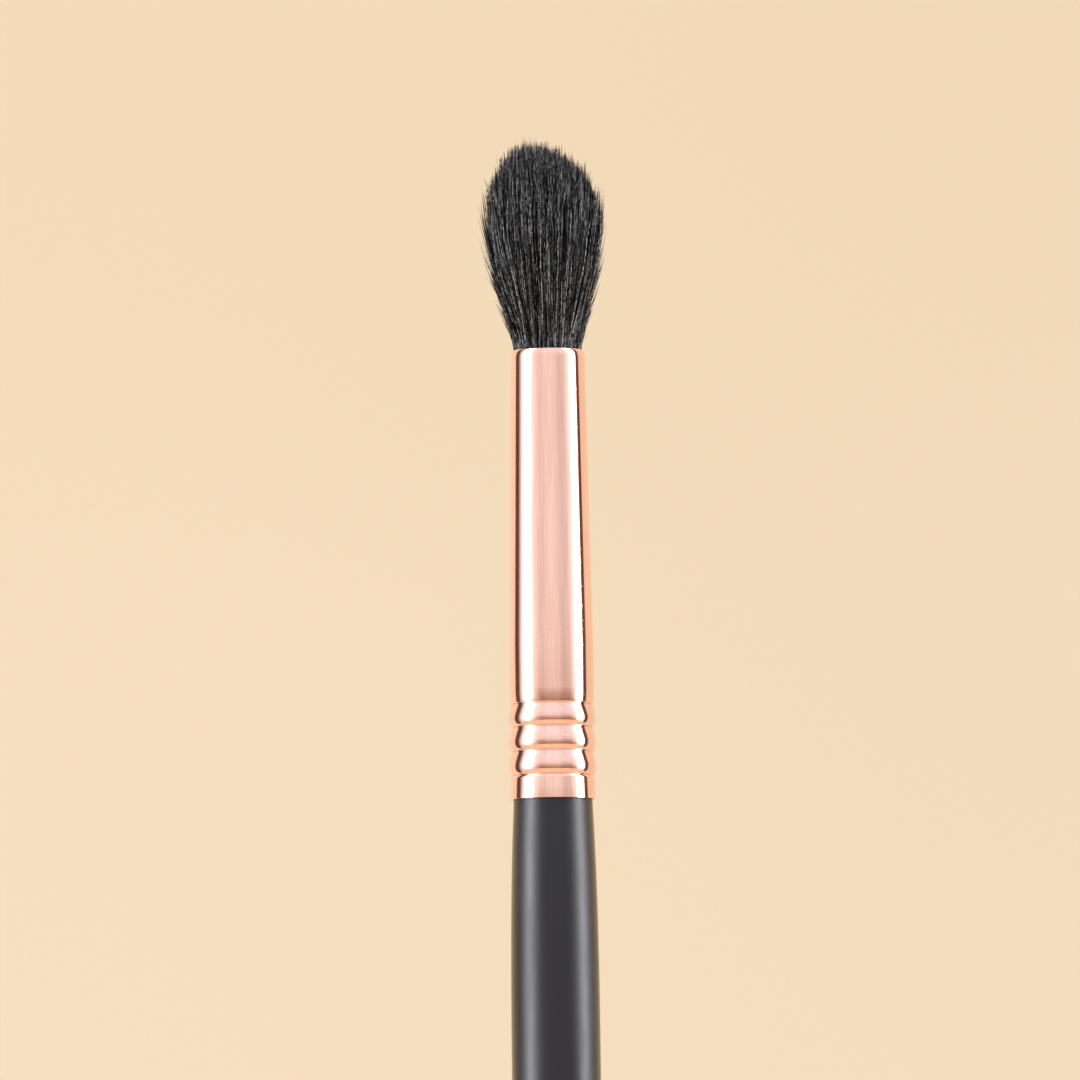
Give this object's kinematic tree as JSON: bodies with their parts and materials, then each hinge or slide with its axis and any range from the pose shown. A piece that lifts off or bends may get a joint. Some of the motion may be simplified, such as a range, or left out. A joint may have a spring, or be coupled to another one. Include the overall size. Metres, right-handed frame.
{
  "type": "blending brush",
  "caption": "Round tapered makeup blending brush: a domed black hair tuft in a polished rose-gold ferrule with pressed rings, on a slim satin black handle.",
  "frame": {"origin": "centre of the small flat butt at the handle's free end", "axes": "+Z along the brush, from the butt to the tuft's tip; the tuft's apex leans to -X"},
  "size_m": [0.0106, 0.0105, 0.1749],
  "materials": {
    "handle_lacquer": "satin black lacquer over turned wood",
    "rose_gold_plate": "polished rose-gold plate",
    "black_hair": "soft black hair with a faint sheen",
    "binding_thread": "waxed cotton thread",
    "set_resin": "set amber epoxy",
    "handle_glue": "set white glue"
  },
  "bodies": {
    "root": {"handle": "handle_lacquer", "ferrule": "rose_gold_plate", "hair_tuft": "black_hair", "root_thread": "binding_thread", "resin_plug": "set_resin", "glue_bead": "handle_glue"}
  },
  "joints": []
}
